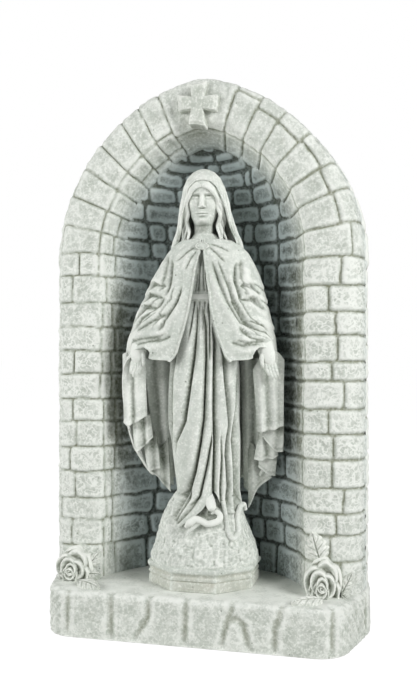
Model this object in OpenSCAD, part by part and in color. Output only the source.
// Garden grotto: a pointed stone niche on a base step, with a robed figure standing in it.
// Millimetres, +Z up, ground at z = 0, front towards -Y. Left and right are as seen from the front.

/* [Niche] */
// Clear width of the niche between the jambs
opening_w = 304; // [280:1:330]
// Width of the stone rim on each side of the opening
rim_w = 63; // [50:1:75]
// Depth of the rim, front to back
rim_t = 45; // [35:1:55]
// Clear height over the figure's crown, up to the top of the vault
head_room = 41; // [25:1:70]
// How far each arch centre lies past the middle, which makes the arch pointed
arch_offset = 45; // [30:1:60]
// Depth of the niche behind the rim face
niche_depth = 118; // [110:1:130]
// Thickness of the back wall at the middle
back_wall_t = 56; // [40:1:70]
// Radius of the rounded back corners
corner_r = 114; // [105:1:120]
// Chamfer on the inner edge of the rim
inner_chamfer = 10; // [4:1:14]
// Chamfer on the outer edge of the rim
outer_chamfer = 12; // [4:1:16]
// Angle on the arch where the keystone begins
key_angle = 65; // [62:1:70]
// Depth of the joints between the rim's stones
joint_d = 4; // [2:0.5:6]
// Width of the joints between the rim's stones
joint_w = 6; // [4:0.5:9]
// Half of the width of the back wall between the side walls
back_half_w = 80; // [60:1:95]

/* [Base step] */
// Height of the base step
base_h = 65; // [50:1:85]
// Depth of the ledge in front of the rim
ledge = 70; // [60:1:85]
// Margin of the base step round the niche walls
base_margin = 4; // [3:1:14]
// Radius of the front corners of the base step
base_corner_r = 46; // [30:1:60]
// Eased edge along the top and bottom of the base step
base_edge = 6; // [3:1:10]

/* [Ornament] */
// Width and height of the cross on the keystone
cross_size = 60; // [48:1:64]
// How far the cross sits below the middle of the keystone
cross_drop = 9; // [0:1:12]
// Thickness of the cross
cross_t = 12; // [8:1:18]
// Diameter of each rose
rose_d = 53; // [44:1:58]
// Height of each rose in front of the jamb
rose_t = 24; // [18:1:30]
// Length of the leaves
leaf_l = 36; // [28:1:42]
// Thickness of the leaves
leaf_t = 6; // [4:1:8]

/* [Statue] */
// Angle by which the figure is turned to the right on its pedestal
statue_turn = 9; // [0:1:12]
// Distance of the statue's axis behind the rim face
statue_back = 28; // [24:1:32]
// Width of the octagonal pedestal
pedestal_w = 156; // [146:1:164]
// Depth of the octagonal pedestal, front to back
pedestal_d = 138; // [130:1:146]
// Height of the pedestal
pedestal_h = 32; // [26:1:40]
// Half of the width of the rocky globe at its foot
globe_r = 78; // [73:1:82]
// Height of the globe between the pedestal and the hem
globe_h = 71; // [64:1:76]
// Height of the figure from hem to crown
figure_h = 497; // [470:1:500]
// Width of the figure across the mantle
figure_w = 234; // [222:1:244]
// Depth of the figure, front to back, at the hem
figure_d = 100; // [94:1:108]
// Thickness of the mantle's hanging sides below the hands
cascade_t = 22; // [18:1:28]
// Depth of the folds in the skirt
fold_depth = 4; // [2:0.5:6]
// Diameter of the clasp at the neck
clasp_d = 15; // [10:1:18]
// Thickness of the serpent's body
serpent_d = 11; // [8:1:13]
// Length of each hand from wrist to fingertip
hand_l = 46; // [40:1:50]

/* [Hidden] */

stone = [0.78, 0.80, 0.76];
pale_stone = [0.86, 0.88, 0.84];
grey_stone = [0.62, 0.66, 0.64];

// Gap between pieces that rest against a curved face
seat_gap = 0.3;

// Plan of the grotto: the rim face lies at rim_y, and the part is centred on its depth
shell_d = niche_depth + back_wall_t;
base_d = ledge + shell_d + base_margin;
rim_y = ledge - base_d / 2;
rim_back_y = rim_y + rim_t;
rim_half = opening_w / 2 + rim_w;
corner_y = rim_y + shell_d - corner_r;
corner_x = rim_half - sqrt(pow(corner_r, 2) - pow(corner_y - rim_y, 2));
niche_r = (pow(opening_w / 2, 2) + pow(niche_depth, 2)) / (2 * niche_depth);
niche_y = rim_y + niche_depth - niche_r;
far = 2 * (rim_half + base_d);

// Radii about the arch centres, at the rim face and at the back of the rim
arch_r_in = opening_w / 2 + arch_offset;
arch_r_out = arch_r_in + rim_w;
hood_half_out = corner_x + sqrt(pow(corner_r, 2) - pow(corner_y - rim_back_y, 2));
hood_half_in = sqrt(pow(niche_r, 2) - pow(rim_back_y - niche_y, 2));
crown_angle = acos(arch_offset / (arch_r_in + rim_w / 2));
vault_r = hood_half_in + arch_offset;
vault_rise = sqrt(pow(vault_r, 2) - pow(arch_offset, 2));

// Heights of the statue
statue_y = rim_y + statue_back;
globe_z = base_h + pedestal_h;
hem_z = globe_z + globe_h;
neck_ratio = 0.775;
neck_z = hem_z + neck_ratio * figure_h;
// The niche is built round the figure: the vault clears its crown by the head room
spring_z = hem_z + figure_h + head_room - vault_rise;

// Shared helpers

function smooth(x) = let (k = min(max(x, 0), 1)) k * k * (3 - 2 * k);
function mix(a, b, k) = a + (b - a) * k;
function column(table, i) = [for (row = table) [row[0], row[i]]];
function at(table, i, t) = lookup(t, column(table, i));
function ellipse_r(a, half_w, half_d) = 1 / sqrt(pow(sin(a) / half_w, 2) + pow(cos(a) / half_d, 2));
// A point at angle a from the figure's front, at distance r from the statue's axis
function around(r, a, z) = [r * sin(a + statue_turn), statue_y - r * cos(a + statue_turn), z];
function flatten(rows) = [for (row = rows) each row];

// Closed solid from rings of points, each ring in the same order, capped at both ends
module ring_loft(rings) {
  n = len(rings[0]);
  last = len(rings) - 1;
  sides = [
    for (i = [0:last - 1], j = [0:n - 1])
      let (k = (j + 1) % n)
        each [
          [i * n + j, (i + 1) * n + j, (i + 1) * n + k],
          [i * n + j, (i + 1) * n + k, i * n + k]
        ]
  ];
  ends = [[for (j = [0:n - 1]) j], [for (j = [n - 1:-1:0]) last * n + j]];
  polyhedron(flatten(rings), concat(sides, ends), convexity = 8);
}

// Plan outlines of the grotto

module shell_plan() {
  intersection() {
    union() {
      for (side = [-1, 1])
        translate([side * corner_x, corner_y])
          circle(r = corner_r, $fn = 128);
      translate([-corner_x, corner_y - corner_r])
        square([2 * corner_x, 2 * corner_r]);
    }
    translate([-far / 2, rim_y])
      square([far, far]);
  }
}

module wall_plan() {
  difference() {
    shell_plan();
    translate([0, niche_y])
      circle(r = niche_r, $fn = 128);
  }
}

// Section of the right-hand rim, with both front edges chamfered, from its inner to its outer back edge.
// Share k runs from the springing line at 0 to the crown at 1, where the outer side swells out less.
crown_swell_ratio = 0.3;
function swell(k) = mix(1, crown_swell_ratio, smooth(k / 0.6));
function niche_x(y) = sqrt(pow(niche_r, 2) - pow(y - niche_y, 2));
function shell_x(y, k) =
  rim_half + (corner_x + sqrt(pow(corner_r, 2) - pow(corner_y - y, 2)) - rim_half) * swell(k);
function rim_points(k, sunk) =
  let (
    inner_y = rim_y + 2 * inner_chamfer,
    outer_y = rim_y + 1.3 * outer_chamfer,
    side_y = (outer_y + rim_back_y) / 2
  )
    [
      [hood_half_in + sunk, rim_back_y],
      [niche_x(inner_y) + sunk, inner_y],
      [opening_w / 2 + inner_chamfer, rim_y + sunk],
      [rim_half - outer_chamfer, rim_y + sunk],
      [shell_x(outer_y, k) - sunk, outer_y],
      [shell_x(side_y, k) - sunk, side_y],
      [shell_x(rim_back_y, k) - sunk, rim_back_y]
    ];
// The section level at height z on a jamb, and turned by angle a about the arch centre
function level_ring(z, sunk) = [for (p = rim_points(0, sunk)) [p[0], p[1], z]];
function arch_point(p, a) =
  let (r = p[0] + arch_offset)
    [r * cos(a) - arch_offset, p[1], spring_z + r * sin(a)];
function arch_ring(a, sunk) = [for (p = rim_points(a / crown_angle, sunk)) arch_point(p, a)];

// Base step

module base_plan(inset = 0) {
  hull() {
    for (side = [-1, 1]) {
      translate([side * (rim_half - base_corner_r), rim_y - ledge + base_corner_r])
        circle(r = base_corner_r - inset, $fn = 48);
      translate([side * corner_x, corner_y])
        circle(r = corner_r + base_margin - inset, $fn = 72);
    }
  }
}

module base_step() {
  color(stone)
    hull() {
      linear_extrude(base_h)
        base_plan(base_edge);
      translate([0, 0, base_edge])
        linear_extrude(base_h - 2 * base_edge)
          base_plan();
    }
}

// Front rim: jambs, arch and keystone, with a sunk joint between each stone and the next

// Joints of the jambs, as shares of their height, and of the arch, as angles from the springing line
left_courses = [0.10, 0.18, 0.25, 0.33, 0.41, 0.49, 0.56, 0.64, 0.71, 0.79, 0.86, 0.95];
right_courses = [0.095, 0.17, 0.235, 0.305, 0.39, 0.465, 0.54, 0.62, 0.68, 0.755, 0.825, 0.905];
left_voussoirs = [11.5, 21, 31, 40, 49.5, 57];
right_voussoirs = [9, 19.5, 28, 39.5, 49, 58];

module jamb(courses) {
  color(stone)
    ring_loft(concat(
      [level_ring(base_h, 0)],
      [for (share = courses, step = [-1:1])
        level_ring(mix(base_h, spring_z, share) + step * joint_w / 2, step == 0 ? joint_d : 0)],
      [level_ring(spring_z, 0)]
    ));
}

module arch(voussoirs) {
  half_joint = joint_w / 2 / arch_r_in * 180 / PI;
  stops = concat([-half_joint], voussoirs, [key_angle + half_joint]);
  color(stone)
    ring_loft([
      for (i = [0:len(voussoirs)])
        each concat(
          [for (q = [0:3]) arch_ring(mix(stops[i] + half_joint, stops[i + 1] - half_joint, q / 3), 0)],
          i < len(voussoirs) ? [arch_ring(stops[i + 1], joint_d)] : []
        )
    ]);
}

// Rings of the keystone turn from the plane of its joint into the middle plane, and out again
module keystone() {
  steps = 4;
  rings = [
    for (q = [0:steps])
      [for (p = rim_points(1, 0))
        arch_point(p, mix(key_angle, acos(arch_offset / (p[0] + arch_offset)), q / steps))]
  ];
  color(stone)
    ring_loft(concat(
      rings,
      [for (q = [steps - 1:-1:0]) [for (p = rings[q]) [-p[0], p[1], p[2]]]]
    ));
}

// Cross of four flared arms on the keystone's face
module cross() {
  rise = (sqrt(pow(arch_r_in, 2) - pow(arch_offset, 2)) + sqrt(pow(arch_r_out, 2) - pow(arch_offset, 2))) / 2;
  root = cross_size * 0.15;
  tip = cross_size * 0.22;
  color(pale_stone)
    translate([0, rim_y, spring_z + rise - cross_drop])
      rotate([90, 0, 0])
        linear_extrude(cross_t)
          for (turn = [0:90:270])
            rotate(turn)
              polygon([[0, 0], [root, root], [tip, cross_size / 2], [-tip, cross_size / 2], [-root, root]]);
}

// Niche walls below the springing line

module wall_between(x_low, x_high) {
  color(grey_stone)
    translate([0, 0, base_h])
      linear_extrude(spring_z - base_h)
        intersection() {
          wall_plan();
          translate([x_low, rim_back_y])
            square([x_high - x_low, far]);
        }
}

// Hood: a half dome between an outer and an inner skin, both scaled copies of the wall's plan

hood_around = 24;
hood_up = 12;
function outer_plan(u) =
  let (
    side = abs(2 * u - 1),
    a = mix(90, asin((rim_back_y - corner_y) / corner_r), max(0, 2 * side - 1)),
    x = corner_x * min(1, 2 * side) + corner_r * cos(a)
  )
    [(u < 0.5 ? -1 : 1) * x, corner_y + corner_r * sin(a) - rim_back_y];
function inner_plan(u) =
  let (a = mix(180 - asin((rim_back_y - niche_y) / niche_r), asin((rim_back_y - niche_y) / niche_r), u))
    [niche_r * cos(a), niche_y + niche_r * sin(a) - rim_back_y];
function hood_radius(a) = shell_x(rim_back_y, a / crown_angle) + arch_offset;
hood_angle = acos(arch_offset / hood_radius(90));
hood_rise_out = hood_radius(90) * sin(hood_angle);
function hood_outer(u, v) =
  let (p = outer_plan(u), a = v * hood_angle, r = hood_radius(a), rise = r * sin(a))
    [p[0] * (r * cos(a) - arch_offset) / hood_half_out,
     rim_back_y + p[1] * sqrt(1 - pow(rise / hood_rise_out, 2)), spring_z + rise];
function hood_inner(u, v) =
  let (p = inner_plan(u), rise = vault_rise * sin(90 * v))
    [p[0] * (sqrt(pow(vault_r, 2) - pow(rise, 2)) - arch_offset) / hood_half_in,
     rim_back_y + p[1] * cos(90 * v), spring_z + rise];

module hood() {
  n = hood_around + 1;
  skin = n * hood_up + 1;
  points = concat(
    [for (i = [0:hood_up - 1], j = [0:hood_around]) hood_outer(j / hood_around, i / hood_up)],
    [[0, rim_back_y, spring_z + hood_rise_out]],
    [for (i = [0:hood_up - 1], j = [0:hood_around]) hood_inner(j / hood_around, i / hood_up)],
    [[0, rim_back_y, spring_z + vault_rise]]
  );
  skins = [
    for (s = [0, 1], i = [0:hood_up - 2], j = [0:hood_around - 1])
      let (a = s * skin + i * n + j, quad = [a, a + 1, a + n + 1, a + n])
        s == 0 ? [quad[0], quad[3], quad[2], quad[1]] : quad
  ];
  crowns = [
    for (s = [0, 1], j = [0:hood_around - 1])
      let (a = s * skin + (hood_up - 1) * n + j, top = s * skin + skin - 1)
        s == 0 ? [a, top, a + 1] : [a, a + 1, top]
  ];
  foot = [for (j = [0:hood_around - 1]) [j, j + 1, skin + j + 1, skin + j]];
  fronts = [
    for (j = [0, hood_around], i = [0:hood_up - 2])
      let (a = i * n + j, quad = [a, a + n, skin + a + n, skin + a])
        j == 0 ? [quad[3], quad[2], quad[1], quad[0]] : quad
  ];
  tips = [
    for (j = [0, hood_around])
      let (a = (hood_up - 1) * n + j, quad = [a, skin - 1, 2 * skin - 1, skin + a])
        j == 0 ? [quad[3], quad[2], quad[1], quad[0]] : quad
  ];
  color(grey_stone)
    polyhedron(points, concat(skins, crowns, foot, fronts, tips), convexity = 6);
}

// Roses and leaves at the foot of the jambs

rose_x = (opening_w / 2 + rim_half) / 2 - 6;
rose_z = base_h + rose_d / 2 + seat_gap;
rose_petals = 5;
// Height of the rose at share k of its radius and angle a: three whorls of petals that wind inwards
function rose_height(k, a) =
  let (whorl = k * 3 + a / 360)
    rose_t * (0.45 + 0.55 * (1 - k * k)) * (0.72 + 0.28 * pow(sin(180 * (whorl - floor(whorl))), 2));
function rose_radius(k, a) = rose_d / 2 * k * (1 - 0.09 * (1 + cos(rose_petals * a)) / 2 * k);

module rose() {
  around_n = 30;
  rings = [
    for (k = [1, 0.88, 0.74, 0.6, 0.46, 0.32, 0.18])
      [for (j = [0:around_n - 1])
        let (a = 360 * j / around_n, r = rose_radius(k, a))
          [r * cos(a), r * sin(a), k == 1 ? rose_t * 0.3 : rose_height(k, a)]]
  ];
  back = [for (p = rings[0]) [p[0], p[1], 0]];
  color(pale_stone)
    translate([rose_x, rim_y, rose_z])
      rotate([90, 0, 0])
        ring_loft(concat([back], rings));
}

// One pointed leaf, lying flat with its stalk at the origin and its tip along +X
module leaf() {
  r = leaf_l * 0.62;
  lean = sqrt(pow(r, 2) - pow(leaf_l / 2, 2));
  linear_extrude(leaf_t)
    intersection() {
      translate([leaf_l / 2, -lean])
        circle(r = r, $fn = 96);
      translate([leaf_l / 2, lean])
        circle(r = r, $fn = 96);
    }
}

module leaves() {
  reach = rose_d / 2 + seat_gap;
  color(pale_stone) {
    translate([rose_x - 6, rim_y, rose_z + reach])
      rotate([90, 0, 0])
        rotate(100)
          leaf();
    translate([rose_x + reach * cos(35), rim_y, rose_z + reach * sin(35)])
      rotate([90, 0, 0])
        rotate(70)
          leaf();
    translate([rose_x - rose_d * 0.45, rim_y - rose_t - seat_gap, base_h])
      rotate(200)
        leaf();
  }
}

// Statue: pedestal and globe

module pedestal() {
  r = pedestal_w / 2 / cos(22.5);
  color(pale_stone)
    translate([0, statue_y, base_h])
      scale([1, pedestal_d / pedestal_w, 1])
        rotate(22.5)
          rotate_extrude($fn = 8)
            polygon([
              [0, 0], [r * 0.95, 0], [r * 0.95, pedestal_h * 0.3], [r, pedestal_h * 0.42],
              [r, pedestal_h * 0.58], [r * 0.96, pedestal_h * 0.64], [r * 0.96, pedestal_h * 0.78],
              [r, pedestal_h * 0.88], [r, pedestal_h], [0, pedestal_h]
            ]);
}

// Rocky globe: share of its height, and of its width at the foot
globe_profile = [[0, 1], [0.3, 0.93], [0.6, 0.85], [0.87, 0.77], [1, 0.72]];
function globe_radius(a, z) =
  lookup((z - globe_z) / globe_h, globe_profile)
  * ellipse_r(a + statue_turn, globe_r, globe_r * pedestal_d / pedestal_w);

module globe() {
  around_n = 48;
  color(pale_stone)
    ring_loft([
      for (row = globe_profile)
        let (z = globe_z + row[0] * globe_h)
          [for (j = [0:around_n - 1]) let (a = 360 * j / around_n) around(globe_radius(a, z), a, z)]
    ]);
}

// Serpent: a tapering body that winds across the front of the globe, as [angle, share of the globe's height]
serpent_route = [
  [-34, 0.42], [-24, 0.36], [-14, 0.5], [-4, 0.66], [6, 0.7], [14, 0.58], [22, 0.46], [32, 0.52], [42, 0.6]
];

module serpent() {
  sides = 8;
  last = len(serpent_route) - 1;
  rings = [
    for (i = [0:last])
      let (
        a = serpent_route[i][0],
        z = globe_z + serpent_route[i][1] * globe_h,
        r = serpent_d / 2 * mix(1, 0.45, i / last),
        lift = globe_radius(a, z) + r + seat_gap
      )
        [for (j = [0:sides - 1])
          let (b = 360 * j / sides)
            around(lift + r * cos(b), a, z - r * sin(b))]
  ];
  color(stone)
    ring_loft(rings);
}

// Statue: robe, as share of figure height, half width and half depth as shares of the figure's
robe_profile = [
  [0.00, 0.51, 1.00], [0.05, 0.48, 0.96], [0.16, 0.46, 0.92], [0.43, 0.43, 0.88], [0.62, 0.32, 0.66],
  [0.70, 0.36, 0.72], [0.74, 0.34, 0.60], [0.775, 0.22, 0.46]
];
function robe_r(a, t) =
  let (side = min(abs(a), abs(360 - a)), folds = smooth((62 - side) / 20) * smooth((0.5 - t) / 0.2))
    ellipse_r(a, figure_w / 2 * at(robe_profile, 1, t), figure_d / 2 * at(robe_profile, 2, t))
    - fold_depth * folds * (1 + cos(side * 14)) / 2;

module robe() {
  around_n = 72;
  levels = [0, 0.05, 0.11, 0.17, 0.26, 0.35, 0.43, 0.5, 0.56, 0.62, 0.66, 0.7, 0.74, neck_ratio];
  color(pale_stone)
    ring_loft([
      for (t = levels)
        [for (j = [0:around_n - 1])
          let (a = 360 * j / around_n)
            around(robe_r(a, t), a, hem_z + t * figure_h)]
    ]);
}

// Mantle: share of height, half width, half depth in front, half depth behind, half angle of the open front
mantle_profile = [
  [0.045, 0.62, 0.80, 1.12, 82], [0.11, 0.80, 0.78, 1.16, 81], [0.18, 0.93, 0.78, 1.18, 80],
  [0.25, 0.97, 0.80, 1.18, 79], [0.35, 1.00, 0.82, 1.18, 77], [0.43, 0.96, 0.94, 1.16, 72],
  [0.465, 0.92, 1.06, 1.14, 38], [0.50, 0.89, 1.04, 1.12, 32], [0.59, 0.78, 0.98, 1.08, 21],
  [0.68, 0.64, 0.90, 1.02, 13], [0.74, 0.53, 0.82, 0.96, 9], [0.775, 0.47, 0.74, 0.90, 8]
];
function mantle_out(a, t) =
  let (depth = at(mantle_profile, min(a, 360 - a) < 90 ? 2 : 3, t))
    ellipse_r(a, figure_w / 2 * at(mantle_profile, 1, t), figure_d / 2 * depth);
function mantle_in(a, t) =
  let (
    side = min(a, 360 - a),
    body = robe_r(a, t) + seat_gap,
    closed = max(smooth((side - 88) / 25), smooth((t - 0.43) / 0.03))
  )
    max(body, mix(mantle_out(a, t) - cascade_t, body, closed));

module mantle() {
  around_n = 44;
  levels = [0.045, 0.11, 0.18, 0.25, 0.35, 0.43, 0.465, 0.5, 0.55, 0.59, 0.635, 0.68, 0.71, 0.74, neck_ratio];
  function angle(j, t) = let (open = at(mantle_profile, 4, t)) mix(open, 360 - open, j / around_n);
  color(pale_stone)
    ring_loft([
      for (t = levels)
        concat(
          [for (j = [0:around_n]) let (a = angle(j, t)) around(mantle_out(a, t), a, hem_z + t * figure_h)],
          [for (j = [around_n:-1:0]) let (a = angle(j, t)) around(mantle_in(a, t), a, hem_z + t * figure_h)]
        )
    ]);
}

// Round clasp that closes the mantle at the neck: a low dome on the mantle's front
module clasp() {
  rise = clasp_d * 0.25;
  dome_r = (pow(clasp_d / 2, 2) + pow(rise, 2)) / (2 * rise);
  clasp_ratio = neck_ratio - 0.02;
  foot_ratio = clasp_ratio - clasp_d / 2 / figure_h;
  open = at(mantle_profile, 4, foot_ratio);
  front = mantle_out(open, foot_ratio) * cos(open);
  color(pale_stone)
    translate([0, statue_y, hem_z + clasp_ratio * figure_h])
      rotate(statue_turn)
        translate([0, -front - seat_gap, 0])
          rotate([90, 0, 0])
            intersection() {
              translate([0, 0, rise - dome_r])
                sphere(r = dome_r, $fn = 64);
              cylinder(d = 2 * clasp_d, h = 2 * rise, $fn = 64);
            }
}

// Statue: hands, held down and open in front of the hanging sides of the mantle

hand_ratio = 0.43;
hand_x = figure_w / 2 * at(mantle_profile, 1, hand_ratio) * 0.92;
hand_y = -figure_d / 2 * at(mantle_profile, 2, 0.35) * sqrt(1 - pow(0.82, 2)) - hand_l * 0.114;

module finger(x, length, lean) {
  thick = hand_l * 0.15;
  hull() {
    translate([x, 0, 0])
      sphere(d = thick, $fn = 14);
    translate([x + lean, 0, -length])
      sphere(d = thick * 0.8, $fn = 14);
  }
}

// Hand on one side of the figure, fingers down
module hand(side) {
  palm = hand_l * 0.46;
  color(pale_stone)
    translate([0, statue_y, hem_z + hand_ratio * figure_h])
      rotate(statue_turn)
        mirror([side < 0 ? 1 : 0, 0, 0])
          translate([hand_x, hand_y, 0]) {
            hull() {
              translate([0, 0, -hand_l * 0.08])
                sphere(d = hand_l * 0.26, $fn = 16);
              translate([-hand_l * 0.14, 0, -palm])
                sphere(d = hand_l * 0.18, $fn = 16);
              translate([hand_l * 0.18, 0, -palm])
                sphere(d = hand_l * 0.18, $fn = 16);
            }
            for (i = [0:3])
              translate([0, 0, -palm])
                finger(hand_l * (0.115 * i - 0.15), hand_l * (0.42 + 0.05 * sin(60 * i)), hand_l * 0.015 * i);
            translate([-hand_l * 0.12, 0, -palm * 0.5])
              finger(0, hand_l * 0.34, -hand_l * 0.12);
          }
}

// Statue: head and veil, as share of the head's height over the neck, half width and half depth

head_h = (1 - neck_ratio) * figure_h;
// The head, from chin to crown, is about a seventh of the figure
head_profile = [
  [0.00, 0.17, 0.16], [0.22, 0.15, 0.15], [0.28, 0.14, 0.21], [0.33, 0.17, 0.25], [0.40, 0.20, 0.262],
  [0.52, 0.215, 0.265], [0.66, 0.22, 0.265], [0.82, 0.20, 0.24]
];
// Where the veil closes over the brow and the head ends under it
veil_close_ratio = 0.76;
function head_r(a, k) = ellipse_r(a, head_h * at(head_profile, 1, k), head_h * at(head_profile, 2, k));

module head() {
  around_n = 30;
  levels = [0, 0.12, 0.22, 0.28, 0.33, 0.4, 0.46, 0.52, 0.59, 0.66, veil_close_ratio - seat_gap / head_h];
  color(pale_stone)
    ring_loft([
      for (k = levels)
        [for (j = [0:around_n - 1])
          let (a = 360 * j / around_n)
            around(head_r(a, k), a, neck_z + k * head_h)]
    ]);
}

// Veil: share of head height, half width, half depth in front and behind, half angle of the open front
veil_profile = [
  [0.00, 0.49, 0.33, 0.40, 46], [0.12, 0.47, 0.32, 0.40, 44], [0.24, 0.43, 0.30, 0.39, 44],
  [0.42, 0.37, 0.29, 0.38, 48], [0.62, 0.31, 0.285, 0.36, 52], [0.76, 0.27, 0.28, 0.33, 44],
  [0.84, 0.23, 0.25, 0.29, 0], [0.91, 0.17, 0.19, 0.22, 0], [0.97, 0.09, 0.11, 0.125, 0],
  [1.00, 0.02, 0.03, 0.03, 0]
];
function veil_out(a, k) =
  let (front = min(a, 360 - a) < 90)
    ellipse_r(a, head_h * at(veil_profile, 1, k), head_h * at(veil_profile, front ? 2 : 3, k));

// The skirt of the veil is open in front; above the brow its crown goes all the way round
module veil() {
  around_n = 30;
  front_n = 9;
  skirt = [0, 0.12, 0.22, 0.28, 0.33, 0.4, 0.46, 0.52, 0.59, 0.66, veil_close_ratio];
  crown = [0.8, 0.84, 0.875, 0.91, 0.94, 0.97, 1.0];
  ring_n = 2 * (around_n + 1);
  loop_n = around_n + 1 + front_n;
  brow = (len(skirt) - 1) * ring_n;
  front_0 = len(skirt) * ring_n;
  crown_0 = front_0 + front_n;
  function open(k) = at(veil_profile, 4, k);
  function angle(j, k) = mix(open(k), 360 - open(k), j / around_n);
  function loop_angle(q) =
    q <= around_n ? angle(q, veil_close_ratio)
    : (360 - open(veil_close_ratio) + 2 * open(veil_close_ratio) * (q - around_n) / (front_n + 1)) % 360;
  function loop_point(q, k) = let (a = loop_angle(q)) around(veil_out(a, k), a, neck_z + k * head_h);
  points = concat(
    [for (k = skirt) each concat(
      [for (j = [0:around_n]) let (a = angle(j, k)) around(veil_out(a, k), a, neck_z + k * head_h)],
      [for (j = [around_n:-1:0])
        let (a = angle(j, k))
          around(head_r(a, k) + seat_gap, a, neck_z + k * head_h)]
    )],
    [for (q = [around_n + 1:loop_n - 1]) loop_point(q, veil_close_ratio)],
    [for (k = crown, q = [0:loop_n - 1]) loop_point(q, k)]
  );
  loops = concat(
    [concat([for (j = [0:around_n]) brow + j], [for (f = [0:front_n - 1]) front_0 + f])],
    [for (c = [0:len(crown) - 1]) [for (q = [0:loop_n - 1]) crown_0 + c * loop_n + q]]
  );
  skirt_faces = [
    for (i = [0:len(skirt) - 2], j = [0:ring_n - 1])
      let (k = (j + 1) % ring_n, low = i * ring_n, high = low + ring_n)
        each [[low + j, high + j, high + k], [low + j, high + k, low + k]]
  ];
  crown_faces = [
    for (c = [0:len(crown) - 1], q = [0:loop_n - 1])
      let (r = (q + 1) % loop_n, low = loops[c], high = loops[c + 1])
        each [[low[q], high[q], high[r]], [low[q], high[r], low[r]]]
  ];
  hem = [for (j = [0:ring_n - 1]) j];
  under = concat(
    [for (j = [ring_n - 1:-1:around_n + 1]) brow + j], [brow + around_n],
    [for (f = [0:front_n - 1]) front_0 + f], [brow]
  );
  top = [for (q = [loop_n - 1:-1:0]) loops[len(crown)][q]];
  color(pale_stone)
    polyhedron(points, concat(skirt_faces, crown_faces, [hem, under, top]), convexity = 8);
}

base_step();
mirror([1, 0, 0]) jamb(left_courses);  // left_jamb
jamb(right_courses);  // right_jamb
mirror([1, 0, 0]) arch(left_voussoirs);  // left_arch
arch(right_voussoirs);  // right_arch
keystone();
cross();
wall_between(-far / 2, -back_half_w);  // left_wall
wall_between(-back_half_w, back_half_w);  // back_wall
wall_between(back_half_w, far / 2);  // right_wall
hood();
mirror([1, 0, 0]) rose();  // left_rose
rose();  // right_rose
mirror([1, 0, 0]) leaves();  // left_leaves
leaves();  // right_leaves
pedestal();
globe();
serpent();
robe();
mantle();
clasp();
hand(-1);  // left_hand
hand(1);  // right_hand
head();
veil();
